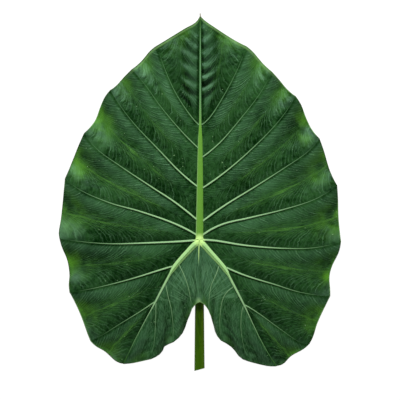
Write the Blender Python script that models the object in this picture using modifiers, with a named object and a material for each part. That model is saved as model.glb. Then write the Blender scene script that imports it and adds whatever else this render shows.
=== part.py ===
"""An elephant ear leaf, cut with a short length of its stalk and laid face up on a flat surface.

The script's own unit is the millimetre. Plan positions are measured from the junction, where the stalk
meets the blade: x to the leaf's right, y towards its tip. The blade is an open sheet made of one grid for
each sector between two veins and one for each stem, which Solidify thickens: thin between the veins and as
deep as the ribs along them. It lies like an upturned dish, held up by its veins, with its edge dipping
between them.
"""

from collections import namedtuple

import bmesh
import bpy
import numpy as np
from mathutils import Vector
from mathutils.bvhtree import BVHTree
from mathutils.geometry import interpolate_bezier

MM = 0.001

# The middle of the whole leaf's box, seen from above, measured from the junction
BOX_MIDDLE = np.array([0.9, 60.3])

# How the blade lies
JUNCTION_DISH_HEIGHT = 30.0
EDGE_DISH_HEIGHT = 5.5
DISH_MIDDLE = 40.0
DISH_HALF_WIDTH = 184.0
DISH_HALF_LENGTH = 230.0
DISH_POWER = 2.5
STEEPEST_DIP = 0.25
DIP_PAST_TABLE = 2.5
QUILT_PER_WIDTH = 0.035

# The blade's thickness, and how deep and how proud its ribs are
LAMINA = 0.9
RIB_DEPTH_PER_WIDTH = 0.85
DEEPEST = 10.0
SHARE_BELOW = 0.8
LIES_FLAT_BELOW = 0.2

# The grid: columns across a sector, rows from its root to the edge, columns across a stem
COLUMNS = 8
ROWS = 11
STEM_COLUMNS = 4
ROW_CROWDING = 1.25
RIB_EDGE = 1.15
WIDEST_RIB_SHARE = 0.22

# The stalk, from its cut end on the table to its head under the junction
STALK_END = -168.5
STALK_END_RADIUS = 6.7
STALK_SINUS = -81.0
STALK_SINUS_RADIUS = 5.8
STALK_HEAD_RADIUS = 5.2
STALK_HEAD_HEIGHT = 18.4
STALK_NOSE = 16.0
STALK_NOSE_RADIUS = 1.8
STALK_CUT_SLANT = 0.27
STALK_SEAT_GAP = 0.6
STALK_SEAT_REACH = 2.5
STALK_RINGS = 26
STALK_SIDES_RESOLUTION = 4

BLADE_GREEN = (0.035, 0.115, 0.030, 1.0)
STALK_GREEN = (0.075, 0.150, 0.012, 1.0)

# A stem is the line that a run of veins grows from, and its half width at distances from the junction.
Stem = namedtuple("Stem", "points at half_width")

MIDRIB = Stem(
    [(0, 0), (1, 150), (1, 291)],
    [0, 6, 68, 117, 156, 220, 291],
    [0, 4.9, 4.1, 3.2, 2.2, 1.5, 0.6],
)
LEFT_RIB = Stem(
    [(0, 0), (-12, -12), (-33, -36), (-45, -57), (-58, -82), (-77, -117), (-99, -161)],
    [0, 8, 49, 60, 101, 112, 190],
    [0, 3.8, 3.1, 2.2, 1.6, 1.0, 0.5],
)
RIGHT_RIB = Stem(
    [(0, 0), (12, -14), (33, -38), (44, -58), (58, -85), (79, -129), (100, -164)],
    [0, 8, 50, 61, 104, 115, 194],
    [0, 3.8, 3.1, 2.2, 1.6, 1.0, 0.5],
)

# A vein leaves its stem at root, a distance from the junction, and runs through points to the leaf's
# edge. edge holds what the leaf's edge passes on its way from this vein's end to the next one's. A run
# has no points: it is the stem's own last stretch. half_width is the vein's at its root.
Vein = namedtuple("Vein", "stem root half_width points edge")

LEFT_OUTER = [
    Vein(MIDRIB, 150, 0, [], [(-5, 283), (-19, 275), (-45, 259)]),
    Vein(MIDRIB, 150, 0.9, [(-12, 162), (-31, 191), (-45, 222), (-55, 253)], [(-64, 246), (-77, 231)]),
    Vein(MIDRIB, 120, 0.9, [(-25, 143), (-51, 174), (-71, 202), (-88, 222)], [(-97, 213), (-109, 200)]),
    Vein(MIDRIB, 70, 1.2,
         [(-25, 88), (-51, 115), (-90, 157), (-116, 195)],
         [(-123, 186), (-129, 173), (-136, 155)]),
    Vein(MIDRIB, 27, 1.4,
         [(-32, 49), (-64, 70), (-103, 96), (-133, 118), (-150, 139)],
         [(-158, 121), (-170, 91)]),
    Vein(MIDRIB, 7, 1.5,
         [(-32, 21), (-77, 37), (-116, 48), (-155, 65), (-175, 80)],
         [(-177, 58), (-180, 29), (-183, 8)]),
    Vein(MIDRIB, 0, 1.6,
         [(-25, -2), (-71, -4), (-116, -5), (-155, -2), (-182, 2)],
         [(-179, -9), (-172, -26), (-169, -46), (-170, -57)]),
    Vein(LEFT_RIB, 49, 1.3,
         [(-51, -39), (-90, -51), (-129, -61), (-155, -66), (-169, -68)],
         [(-162, -81), (-154, -99), (-146, -121)]),
    Vein(LEFT_RIB, 101, 0.9,
         [(-77, -93), (-103, -109), (-129, -125), (-142, -131)],
         [(-135, -138), (-123, -145), (-108, -158)]),
    Vein(LEFT_RIB, 101, 0, [], []),
]
LEFT_INNER = [
    Vein(LEFT_RIB, 101, 0, [], [(-86, -160), (-72, -157)]),
    Vein(LEFT_RIB, 101, 0.7,
         [(-57, -101), (-58, -124), (-63, -155)],
         [(-49, -146), (-46, -139), (-41, -136)]),
    Vein(LEFT_RIB, 74, 0.7, [(-41, -72), (-36, -94), (-34, -133)], [(-22, -121), (-15, -103)]),
    Vein(LEFT_RIB, 42, 0.7, [(-20, -46), (-15, -60), (-10, -90)], [(-4, -83)]),
    Vein(LEFT_RIB, 0, 0.9, [(-1, -20), (0, -81)], []),
]
RIGHT_OUTER = [
    Vein(MIDRIB, 150, 0, [], [(5, 287), (25, 273), (47, 259)]),
    Vein(MIDRIB, 150, 0.9, [(14, 160), (33, 190), (49, 221), (61, 252)], [(70, 244), (83, 229)]),
    Vein(MIDRIB, 108, 1.0, [(27, 127), (53, 157), (79, 191), (94, 219)], [(103, 209), (115, 195)]),
    Vein(MIDRIB, 68, 1.2,
         [(33, 88), (72, 122), (105, 157), (125, 187)],
         [(132, 176), (139, 158), (146, 144)]),
    Vein(MIDRIB, 25, 1.4,
         [(33, 45), (72, 69), (111, 94), (141, 115), (156, 132)],
         [(162, 115), (170, 89)]),
    Vein(MIDRIB, 7, 1.5,
         [(29, 20), (66, 29), (111, 40), (150, 53), (179, 71)],
         [(180, 55), (181, 26), (183, 6)]),
    Vein(MIDRIB, 0, 1.6,
         [(20, -1), (59, -7), (111, -11), (150, -10), (184, -2)],
         [(181, -16), (172, -35), (169, -48), (170, -65)]),
    Vein(RIGHT_RIB, 50, 1.3,
         [(59, -46), (98, -58), (131, -68), (170, -73)],
         [(163, -87), (153, -109), (148, -125)]),
    Vein(RIGHT_RIB, 104, 0.9,
         [(79, -97), (105, -116), (131, -133), (143, -135)],
         [(135, -142), (119, -151), (109, -161)]),
    Vein(RIGHT_RIB, 104, 0, [], []),
]
RIGHT_INNER = [
    Vein(RIGHT_RIB, 104, 0, [], [(89, -164), (75, -161)]),
    Vein(RIGHT_RIB, 104, 0.7, [(54, -101), (55, -126), (64, -158)], [(53, -153), (46, -144), (40, -138)]),
    Vein(RIGHT_RIB, 76, 0.7, [(32, -73), (27, -94), (28, -131)], [(21, -121), (16, -101)]),
    Vein(RIGHT_RIB, 42, 0.7, [(21, -46), (15, -60), (12, -92)], [(5, -83)]),
    Vein(RIGHT_RIB, 0, 0.9, [(-1, -20), (0, -81)], []),
]
VEIN_END_HALF_WIDTH = 0.4


def smooth_line(points, steps=12):
    """A smooth curve through the points, as a close polyline."""
    points = np.array(points, float)
    if len(points) == 2:
        return np.linspace(points[0], points[1], steps + 1)
    knots = np.concatenate([[0], np.cumsum(np.sqrt(np.linalg.norm(np.diff(points, axis=0), axis=1)))])
    slopes = np.gradient(points, knots, axis=0, edge_order=2)
    line = [points[:1]]
    for k, span in enumerate(np.diff(knots)):
        leave = points[k] + slopes[k] * span / 3
        arrive = points[k + 1] - slopes[k + 1] * span / 3
        corners = [Vector((*p, 0)) for p in (points[k], leave, arrive, points[k + 1])]
        line.append(np.array(interpolate_bezier(*corners, steps + 1))[1:, :2])
    return np.concatenate(line)


def run_of(line):
    """The distance from a polyline's start to each of its points."""
    return np.concatenate([[0], np.cumsum(np.linalg.norm(np.diff(line, axis=0), axis=1))])


def along(line, share):
    """Points at shares of a polyline's length."""
    run = run_of(line)
    return np.stack([np.interp(share * run[-1], run, line[:, k]) for k in (0, 1)], axis=-1)


def stem_edge(stem, side, start, end, steps=24):
    """One edge of a stem between two distances from the junction. side is 1 for its left, looking out
    from the junction, and -1 for its right."""
    line = smooth_line(stem.points)
    run = run_of(line)
    at = np.linspace(start, min(end, run[-1]), steps + 1)
    centre = np.stack([np.interp(at, run, line[:, k]) for k in (0, 1)], axis=-1)
    ahead = np.stack([np.interp(at, run, np.gradient(line[:, k], run)) for k in (0, 1)], axis=-1)
    ahead /= np.linalg.norm(ahead, axis=1, keepdims=True)
    left = np.stack([-ahead[:, 1], ahead[:, 0]], axis=-1)
    return centre + left * side * np.interp(at, stem.at, stem.half_width)[:, None]


def vein_line(vein, side):
    """A vein from its root on the stem's edge to the leaf's edge."""
    if not vein.points:
        return stem_edge(vein.stem, side, vein.root, np.inf)
    root = stem_edge(vein.stem, side, vein.root, vein.root + 1)[0]
    return smooth_line([root, *vein.points])


def column_shares(width, rib_a, rib_b, columns):
    """Where a sector's columns stand across it: on both veins, on the edges of their ribs and evenly
    between."""
    edge_a = np.minimum(RIB_EDGE * rib_a / np.maximum(width, 1e-6), WIDEST_RIB_SHARE)
    edge_b = np.minimum(RIB_EDGE * rib_b / np.maximum(width, 1e-6), WIDEST_RIB_SHARE)
    inner = np.linspace(0, 1, columns - 1)
    shares = edge_a[:, None] + (1 - edge_a - edge_b)[:, None] * inner
    return np.column_stack([np.zeros_like(width), shares, np.ones_like(width)])


def dish_height(x, y):
    """How high the leaf lies over the table along its veins, at its middle thickness."""
    reach = np.hypot(x / DISH_HALF_WIDTH, (y - DISH_MIDDLE) / DISH_HALF_LENGTH)
    return EDGE_DISH_HEIGHT + (JUNCTION_DISH_HEIGHT - EDGE_DISH_HEIGHT) * (1 - reach**DISH_POWER)


def rested(height):
    """What would sink through the table lies flat on it."""
    return np.maximum(height, SHARE_BELOW * LAMINA)


def sector_grid(vein_a, vein_b, side, columns):
    """The points of the grid between two neighbouring veins, rows from their roots to the leaf's edge."""
    line_a, line_b = vein_line(vein_a, side), vein_line(vein_b, side)
    start = vein_a.root if vein_a.stem is vein_b.stem else 0
    root = stem_edge(vein_b.stem, side, start, vein_b.root)
    margin = smooth_line([line_a[-1], *vein_a.edge, line_b[-1]])

    v = 1 - (1 - np.linspace(0, 1, ROWS + 1)) ** ROW_CROWDING
    width = np.linalg.norm(along(line_a, v) - along(line_b, v), axis=1)
    rib_a = vein_a.half_width + (VEIN_END_HALF_WIDTH - vein_a.half_width) * v
    rib_b = vein_b.half_width + (VEIN_END_HALF_WIDTH - vein_b.half_width) * v
    u = column_shares(width, rib_a, rib_b, columns)
    v = np.repeat(v[:, None], columns + 1, axis=1)

    # A Coons patch: the two ruled surfaces between facing sides, less the one through the four corners
    u3, v3 = u[..., None], v[..., None]
    across = (1 - u3) * along(line_a, v) + u3 * along(line_b, v)
    outward = (1 - v3) * along(root, u) + v3 * along(margin, u)
    root_corners = (1 - u3) * line_a[0] + u3 * line_b[0]
    end_corners = (1 - u3) * line_a[-1] + u3 * line_b[-1]
    corners = (1 - v3) * root_corners + v3 * end_corners
    plan = across + outward - corners

    # Between its veins the blade bulges over its length, and its edge dips to the table
    level = dish_height(plan[..., 0], plan[..., 1])
    dip = min(level[-1, columns // 2] + DIP_PAST_TABLE, STEEPEST_DIP * width[-1])
    relief = QUILT_PER_WIDTH * width[-1] * np.sin(np.pi * v) - dip * v**3
    return np.dstack([plan, rested(level + relief * 4 * u * (1 - u))])


def stem_grid(left, right):
    """The points of the grid between a stem's two edges, which have the same number of points."""
    share = np.linspace(0, 1, STEM_COLUMNS + 1)[None, :, None]
    plan = left[:, None, :2] * (1 - share) + right[:, None, :2] * share
    return np.dstack([plan, rested(dish_height(plan[..., 0], plan[..., 1]))])


def half_leaf(outer, inner, side):
    """The sectors of one half of the leaf, and the edges that they leave for the midrib and for the
    half's rib."""
    outer_grids = []
    for a, b in zip(outer, outer[1:]):
        outer_grids.append(sector_grid(a, b, side if b.stem is MIDRIB else -side, COLUMNS))
    rib_sectors = sum(v.stem is not MIDRIB and bool(v.points) for v in outer)
    steps = np.diff(np.linspace(0, rib_sectors * COLUMNS, len(inner) - 1).round().astype(int))
    inner_columns = [steps[0], *steps]
    inner_grids = [sector_grid(a, b, side, n) for a, b, n in zip(inner, inner[1:], inner_columns)]

    on_midrib = sum(v.stem is MIDRIB for v in outer) - 1
    midrib_edge = [outer_grids[0][::-1, 0]] + [g[0] for g in outer_grids[1:on_midrib]]
    outer_edge = [g[0] for g in outer_grids[on_midrib:-1]] + [outer_grids[-1][:, -1]]
    inner_edge = [g[0, ::-1] for g in inner_grids[:0:-1]] + [inner_grids[0][:, 0]]
    edges = [without_repeats(e) for e in (midrib_edge, outer_edge, inner_edge)]
    return outer_grids + inner_grids, edges


def without_repeats(stretches):
    """Joins stretches that each start where the last one ends."""
    return np.concatenate([stretches[0]] + [s[1:] for s in stretches[1:]])


def distance_to(line, run, plan):
    """For each plan point, its distance to a polyline, and how far along the polyline that is."""
    start, step = line[:-1], np.diff(line, axis=0)
    offset = plan[:, None] - start
    share = np.clip((offset * step).sum(2) / (step**2).sum(1), 0, 1)
    gap = np.linalg.norm(offset - share[..., None] * step, axis=2)
    nearest = gap.argmin(1)
    rows = np.arange(len(plan))
    return gap[rows, nearest], run[nearest] + share[rows, nearest] * np.diff(run)[nearest]


def blade_thickness(plan):
    """The blade's thickness at each plan point: a half-round rib along each vein, and thin lamina
    between."""
    ribs = [(smooth_line(s.points), s.at[1:], s.half_width[1:]) for s in (MIDRIB, LEFT_RIB, RIGHT_RIB)]
    for veins, side in ((LEFT_OUTER, 1), (LEFT_INNER, 1), (RIGHT_OUTER, -1), (RIGHT_INNER, -1)):
        for vein in veins:
            if vein.points:
                outside = vein.stem is not MIDRIB and veins in (LEFT_OUTER, RIGHT_OUTER)
                line = vein_line(vein, -side if outside else side)
                ribs.append((line, [0, run_of(line)[-1]], [vein.half_width, VEIN_END_HALF_WIDTH]))
    thickest = np.full(len(plan), LAMINA)
    for line, at, half_widths in ribs:
        gap, distance = distance_to(line, run_of(line), plan)
        half_width = np.interp(distance, at, half_widths)
        roundness = np.sqrt(np.clip(1 - (gap / half_width) ** 2, 0, 1))
        thickest = np.maximum(thickest, LAMINA + 2 * RIB_DEPTH_PER_WIDTH * half_width * roundness)
    return thickest


def add_grid(bm, points):
    """Adds a grid and moves its vertices to their places, rows by columns."""
    rows, columns = points.shape[0] - 1, points.shape[1] - 1
    made = bmesh.ops.create_grid(bm, x_segments=columns, y_segments=rows, size=0.5)
    for vert in made["verts"]:
        row, column = round((vert.co.y + 0.5) * rows), round((vert.co.x + 0.5) * columns)
        vert.co = Vector(points[row, column])


def leaf_material(name, colour, roughness):
    material = bpy.data.materials.new(name)
    material.use_nodes = True
    shader = material.node_tree.nodes["Principled BSDF"]
    shader.inputs["Base Color"].default_value = colour
    shader.inputs["Roughness"].default_value = roughness
    shader.inputs["Metallic"].default_value = 0.0
    return material


def to_scene(plan_or_points):
    """From millimetres off the junction to metres off the middle of the leaf's box."""
    points = np.array(plan_or_points, float)
    points[:, :2] -= BOX_MIDDLE
    return points * MM


def make_blade(collection):
    """The blade: one sheet, thickened by Solidify as its thickness group says, and flat where it meets
    the table."""
    left_grids, (left_midrib, left_outer, left_inner) = half_leaf(LEFT_OUTER, LEFT_INNER, 1)
    right_grids, (right_midrib, right_outer, right_inner) = half_leaf(RIGHT_OUTER, RIGHT_INNER, -1)
    stems = [
        stem_grid(left_midrib, right_midrib),
        stem_grid(left_outer, left_inner),
        stem_grid(right_outer, right_inner),
    ]

    bm = bmesh.new()
    for points in left_grids + right_grids + stems:
        add_grid(bm, points)
    bmesh.ops.remove_doubles(bm, verts=bm.verts, dist=0.01)
    bmesh.ops.dissolve_degenerate(bm, edges=bm.edges, dist=0.01)
    bmesh.ops.recalc_face_normals(bm, faces=bm.faces)
    if sum(face.normal.z for face in bm.faces) < 0:
        bmesh.ops.reverse_faces(bm, faces=bm.faces)
    mesh = bpy.data.meshes.new("leaf_blade")
    bm.to_mesh(mesh)
    bm.free()

    points = np.array([v.co for v in mesh.vertices])
    blade = bpy.data.objects.new("leaf_blade", mesh)
    collection.objects.link(blade)
    group = blade.vertex_groups.new(name="thickness")
    for index, thickness in enumerate(blade_thickness(points[:, :2])):
        group.add([index], thickness / DEEPEST, "REPLACE")
    mesh.vertices.foreach_set("co", to_scene(points).ravel())

    thicken = blade.modifiers.new("thickness", "SOLIDIFY")
    thicken.thickness = DEEPEST * MM
    thicken.offset = 1 - 2 * SHARE_BELOW
    thicken.vertex_group = group.name
    with bpy.context.temp_override(object=blade, active_object=blade):
        bpy.ops.object.modifier_apply(modifier=thicken.name)
    for vert in blade.data.vertices:
        if vert.co.z < LIES_FLAT_BELOW * MM:
            vert.co.z = 0
    blade.data.shade_smooth()
    blade.data.materials.append(leaf_material("blade_green", BLADE_GREEN, 0.45))
    return blade


def make_stalk(collection, blade):
    """The stalk: a tapered tube that lies with its cut end on the table and rises to the junction, where
    its head is pared to fit close under the ribs."""
    y = np.linspace(STALK_END, STALK_NOSE, STALK_RINGS)
    radius = np.interp(
        y,
        [STALK_END, STALK_SINUS, 0, STALK_NOSE],
        [STALK_END_RADIUS, STALK_SINUS_RADIUS, STALK_HEAD_RADIUS, STALK_NOSE_RADIUS],
    )
    height = np.interp(
        y,
        [STALK_END, 0, STALK_NOSE],
        [STALK_END_RADIUS, STALK_HEAD_HEIGHT, STALK_HEAD_HEIGHT],
    )

    curve = bpy.data.curves.new("leaf_stalk", "CURVE")
    curve.dimensions = "3D"
    curve.bevel_depth = MM
    curve.bevel_resolution = STALK_SIDES_RESOLUTION
    curve.use_fill_caps = True
    spline = curve.splines.new("POLY")
    spline.points.add(STALK_RINGS - 1)
    for point, place, r in zip(spline.points, to_scene(np.stack([0 * y, y, height], axis=1)), radius):
        point.co = (*place, 1)
        point.radius = r
    tube = bpy.data.objects.new("stalk_tube", curve)
    collection.objects.link(tube)
    bpy.context.view_layer.update()

    graph = bpy.context.evaluated_depsgraph_get()
    mesh = bpy.data.meshes.new_from_object(tube.evaluated_get(graph))
    bpy.data.objects.remove(tube)
    bm = bmesh.new()
    bm.from_mesh(mesh)
    bmesh.ops.remove_doubles(bm, verts=bm.verts, dist=1e-6)
    underside = BVHTree.FromObject(blade, graph)
    end_y = to_scene([(0, STALK_END, 0)])[0, 1]
    for vert in bm.verts:
        if vert.co.y < end_y + MM:
            vert.co.y += STALK_CUT_SLANT * vert.co.x
        vert.co.z = max(vert.co.z, 0)
        for turn in np.radians(range(0, 360, 45)):
            beside = Vector((np.cos(turn), np.sin(turn), 0)) * STALK_SEAT_REACH * MM
            start = Vector((vert.co.x, vert.co.y, -MM)) + beside
            above = underside.ray_cast(start, Vector((0, 0, 1)))[0]
            if above:
                vert.co.z = min(vert.co.z, above.z - STALK_SEAT_GAP * MM)
    bmesh.ops.recalc_face_normals(bm, faces=bm.faces)
    bm.to_mesh(mesh)
    bm.free()

    stalk = bpy.data.objects.new("leaf_stalk", mesh)
    collection.objects.link(stalk)
    mesh.shade_smooth()
    mesh.set_sharp_from_angle(angle=np.radians(40))
    mesh.materials.clear()
    mesh.materials.append(leaf_material("stalk_green", STALK_GREEN, 0.4))
    return stalk


def main():
    for obj in list(bpy.data.objects):
        bpy.data.objects.remove(obj)
    collection = bpy.data.collections.new("elephant_ear_leaf")
    bpy.context.scene.collection.children.link(collection)
    blade = make_blade(collection)
    make_stalk(collection, blade)


main()
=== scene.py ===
# %% [markdown]
# # An elephant ear leaf, laid face up
# A cut leaf is one thin sheet that its own ribs hold in shape, so the whole lesson is about one surface:
# where its veins run, how it rises and dips between them, and how its greens change over it. The packed
# solids give the place and the size. The pieces made here take the place of both solids and keep their
# form, at a finer scale.

from collections import namedtuple

import bpy
import numpy as np
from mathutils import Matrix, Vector, noise
from mathutils.geometry import interpolate_bezier


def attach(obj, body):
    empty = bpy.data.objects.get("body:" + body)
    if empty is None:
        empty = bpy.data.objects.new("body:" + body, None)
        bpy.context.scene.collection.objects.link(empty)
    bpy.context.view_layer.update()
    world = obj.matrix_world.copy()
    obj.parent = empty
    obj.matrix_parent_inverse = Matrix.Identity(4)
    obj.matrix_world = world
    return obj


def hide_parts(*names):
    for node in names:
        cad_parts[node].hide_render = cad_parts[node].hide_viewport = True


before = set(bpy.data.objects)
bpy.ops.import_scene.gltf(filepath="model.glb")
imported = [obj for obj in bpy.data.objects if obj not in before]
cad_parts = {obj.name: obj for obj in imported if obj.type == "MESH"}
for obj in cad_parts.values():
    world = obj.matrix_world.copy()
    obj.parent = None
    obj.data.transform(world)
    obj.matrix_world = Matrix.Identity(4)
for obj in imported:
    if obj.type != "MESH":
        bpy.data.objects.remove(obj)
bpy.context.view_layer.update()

# %% [markdown]
# ## The veins
# A leaf like this grows from the junction, the bright spot where the stalk meets the blade. Three stems
# leave it: the midrib up to the tip, and a rib down into each base lobe. Side veins leave each stem and
# run to the edge. All that follows hangs on these lines, so they are written down once, as points in
# millimetres from the junction, with x to the right and y to the tip. Reading a dozen points a vein is
# quicker and truer than drawing the leaf by eye.

# %% Write down the stems and the veins
MM = 0.001
BOX_MIDDLE = np.array([0.9, 60.3])
LAMINA = 0.9
VEIN_END_HALF_WIDTH = 0.4

# A stem is a line, with its half width at distances from the junction.
Stem = namedtuple("Stem", "points at half_width")
MIDRIB = Stem(
    [(0, 0), (1, 150), (1, 291)],
    [0, 6, 68, 117, 156, 220, 291],
    [0, 4.9, 4.1, 3.2, 2.2, 1.5, 0.6],
)
LEFT_RIB = Stem(
    [(0, 0), (-12, -12), (-33, -36), (-45, -57), (-58, -82), (-77, -117), (-99, -161)],
    [0, 8, 49, 60, 101, 112, 190],
    [0, 3.8, 3.1, 2.2, 1.6, 1.0, 0.5],
)
RIGHT_RIB = Stem(
    [(0, 0), (12, -14), (33, -38), (44, -58), (58, -85), (79, -129), (100, -164)],
    [0, 8, 50, 61, 104, 115, 194],
    [0, 3.8, 3.1, 2.2, 1.6, 1.0, 0.5],
)

# A vein leaves its stem at root, a distance from the junction, and runs through points to the leaf's
# edge. edge holds what the leaf's edge passes on its way to the next vein's end. A vein with no points is
# its stem's own last stretch.
Vein = namedtuple("Vein", "stem root half_width points edge")
LEFT_OUTER = [
    Vein(MIDRIB, 150, 0, [], [(-5, 283), (-19, 275), (-45, 259)]),
    Vein(MIDRIB, 150, 0.9, [(-12, 162), (-31, 191), (-45, 222), (-55, 253)], [(-64, 246), (-77, 231)]),
    Vein(MIDRIB, 120, 0.9, [(-25, 143), (-51, 174), (-71, 202), (-88, 222)], [(-97, 213), (-109, 200)]),
    Vein(MIDRIB, 70, 1.2,
         [(-25, 88), (-51, 115), (-90, 157), (-116, 195)],
         [(-123, 186), (-129, 173), (-136, 155)]),
    Vein(MIDRIB, 27, 1.4,
         [(-32, 49), (-64, 70), (-103, 96), (-133, 118), (-150, 139)],
         [(-158, 121), (-170, 91)]),
    Vein(MIDRIB, 7, 1.5,
         [(-32, 21), (-77, 37), (-116, 48), (-155, 65), (-175, 80)],
         [(-177, 58), (-180, 29), (-183, 8)]),
    Vein(MIDRIB, 0, 1.6,
         [(-25, -2), (-71, -4), (-116, -5), (-155, -2), (-182, 2)],
         [(-179, -9), (-172, -26), (-169, -46), (-170, -57)]),
    Vein(LEFT_RIB, 49, 1.3,
         [(-51, -39), (-90, -51), (-129, -61), (-155, -66), (-169, -68)],
         [(-162, -81), (-154, -99), (-146, -121)]),
    Vein(LEFT_RIB, 101, 0.9,
         [(-77, -93), (-103, -109), (-129, -125), (-142, -131)],
         [(-135, -138), (-123, -145), (-108, -158)]),
    Vein(LEFT_RIB, 101, 0, [], []),
]
LEFT_INNER = [
    Vein(LEFT_RIB, 101, 0, [], [(-86, -160), (-72, -157)]),
    Vein(LEFT_RIB, 101, 0.7,
         [(-57, -101), (-58, -124), (-63, -155)],
         [(-49, -146), (-46, -139), (-41, -136)]),
    Vein(LEFT_RIB, 74, 0.7, [(-41, -72), (-36, -94), (-34, -133)], [(-22, -121), (-15, -103)]),
    Vein(LEFT_RIB, 42, 0.7, [(-20, -46), (-15, -60), (-10, -90)], [(-4, -83)]),
    Vein(LEFT_RIB, 0, 0.9, [(-1, -20), (0, -81)], []),
]
RIGHT_OUTER = [
    Vein(MIDRIB, 150, 0, [], [(5, 287), (25, 273), (47, 259)]),
    Vein(MIDRIB, 150, 0.9, [(14, 160), (33, 190), (49, 221), (61, 252)], [(70, 244), (83, 229)]),
    Vein(MIDRIB, 108, 1.0, [(27, 127), (53, 157), (79, 191), (94, 219)], [(103, 209), (115, 195)]),
    Vein(MIDRIB, 68, 1.2,
         [(33, 88), (72, 122), (105, 157), (125, 187)],
         [(132, 176), (139, 158), (146, 144)]),
    Vein(MIDRIB, 25, 1.4,
         [(33, 45), (72, 69), (111, 94), (141, 115), (156, 132)],
         [(162, 115), (170, 89)]),
    Vein(MIDRIB, 7, 1.5,
         [(29, 20), (66, 29), (111, 40), (150, 53), (179, 71)],
         [(180, 55), (181, 26), (183, 6)]),
    Vein(MIDRIB, 0, 1.6,
         [(20, -1), (59, -7), (111, -11), (150, -10), (184, -2)],
         [(181, -16), (172, -35), (169, -48), (170, -65)]),
    Vein(RIGHT_RIB, 50, 1.3,
         [(59, -46), (98, -58), (131, -68), (170, -73)],
         [(163, -87), (153, -109), (148, -125)]),
    Vein(RIGHT_RIB, 104, 0.9,
         [(79, -97), (105, -116), (131, -133), (143, -135)],
         [(135, -142), (119, -151), (109, -161)]),
    Vein(RIGHT_RIB, 104, 0, [], []),
]
RIGHT_INNER = [
    Vein(RIGHT_RIB, 104, 0, [], [(89, -164), (75, -161)]),
    Vein(RIGHT_RIB, 104, 0.7, [(54, -101), (55, -126), (64, -158)], [(53, -153), (46, -144), (40, -138)]),
    Vein(RIGHT_RIB, 76, 0.7, [(32, -73), (27, -94), (28, -131)], [(21, -121), (16, -101)]),
    Vein(RIGHT_RIB, 42, 0.7, [(21, -46), (15, -60), (12, -92)], [(5, -83)]),
    Vein(RIGHT_RIB, 0, 0.9, [(-1, -20), (0, -81)], []),
]
SIDES = [(LEFT_OUTER, 1, -1), (LEFT_INNER, 1, 1), (RIGHT_OUTER, -1, 1), (RIGHT_INNER, -1, -1)]
print("side veins:", sum(bool(v.points) for veins, *_ in SIDES for v in veins))

# %% [markdown]
# ## Smooth lines
# A vein bends evenly, and a few points joined by straight lines would not. Bezier spans through the
# points give the even bend, and cutting each into short steps gives plain points that are easy to measure
# along.

# %% Draw smooth lines
def smooth_line(points, steps=12):
    """A smooth curve through the points, as close points."""
    points = np.array(points, float)
    if len(points) == 2:
        return np.linspace(points[0], points[1], steps + 1)
    knots = np.concatenate([[0], np.cumsum(np.sqrt(np.linalg.norm(np.diff(points, axis=0), axis=1)))])
    slopes = np.gradient(points, knots, axis=0, edge_order=2)
    line = [points[:1]]
    for k, span in enumerate(np.diff(knots)):
        leave = points[k] + slopes[k] * span / 3
        arrive = points[k + 1] - slopes[k + 1] * span / 3
        corners = [Vector((*p, 0)) for p in (points[k], leave, arrive, points[k + 1])]
        line.append(np.array(interpolate_bezier(*corners, steps + 1))[1:, :2])
    return np.concatenate(line)


def run_of(line):
    """The distance from a line's start to each of its points."""
    return np.concatenate([[0], np.cumsum(np.linalg.norm(np.diff(line, axis=0), axis=1))])


def along(line, share):
    """Points at shares of a line's length."""
    run = run_of(line)
    return np.stack([np.interp(share * run[-1], run, line[:, k]) for k in (0, 1)], axis=-1)


print("the midrib is", round(run_of(smooth_line(MIDRIB.points))[-1]), "mm long")

# %% [markdown]
# A stem has a width, so a side vein starts on the stem's edge and not on its middle line. Distances to a
# line are needed later for the ribs and for the fine nerves.

# %% Follow a stem's edge and measure from a line
def stem_edge(stem, side, start, end, steps=48):
    """One edge of a stem between two distances from the junction. side is 1 for the left one, looking
    outwards."""
    line = smooth_line(stem.points)
    run = run_of(line)
    at = np.linspace(start, min(end, run[-1]), steps + 1)
    centre = np.stack([np.interp(at, run, line[:, k]) for k in (0, 1)], axis=-1)
    ahead = np.stack([np.interp(at, run, np.gradient(line[:, k], run)) for k in (0, 1)], axis=-1)
    ahead /= np.linalg.norm(ahead, axis=1, keepdims=True)
    left = np.stack([-ahead[:, 1], ahead[:, 0]], axis=-1)
    return centre + left * side * np.interp(at, stem.at, stem.half_width)[:, None]


def vein_line(vein, side):
    """A vein from its root on the stem's edge to the leaf's edge."""
    if not vein.points:
        return stem_edge(vein.stem, side, vein.root, np.inf)
    root = stem_edge(vein.stem, side, vein.root, vein.root + 1)[0]
    return smooth_line([root, *vein.points])


def distance_to(line, plan):
    """For each plan point, its distance to a line, and how far along the line that is."""
    run, start, step = run_of(line), line[:-1], np.diff(line, axis=0)
    offset = plan[..., None, :] - start
    share = np.clip((offset * step).sum(-1) / (step**2).sum(1), 0, 1)
    gap = np.linalg.norm(offset - share[..., None] * step, axis=-1)
    nearest = gap.argmin(-1)[..., None]
    reached = run[nearest] + np.take_along_axis(share, nearest, -1) * np.diff(run)[nearest]
    return np.take_along_axis(gap, nearest, -1)[..., 0], reached[..., 0]


print("the longest side vein is", round(run_of(vein_line(LEFT_OUTER[4], 1))[-1]), "mm long")

# %% [markdown]
# ## How the blade lies
# Laid on a table, the blade is an upturned dish: the ribs arch from the junction down to the edge, the
# green skin between them bulges, and the edge dips to the table between the veins' ends. Beside the
# midrib near the tip the skin is gathered into small ripples, and it puckers beside each vein. A cloth
# simulation would give other folds each time a number changed, so each of these shapes is a formula of
# its own and they are added up. The dish comes first.

# %% Give the height of the dish
JUNCTION_DISH_HEIGHT = 30.0
EDGE_DISH_HEIGHT = 5.5
DISH_MIDDLE = 40.0
DISH_HALF_WIDTH = 184.0
DISH_HALF_LENGTH = 230.0
DISH_POWER = 2.5
SHARE_BELOW = 0.8


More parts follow.
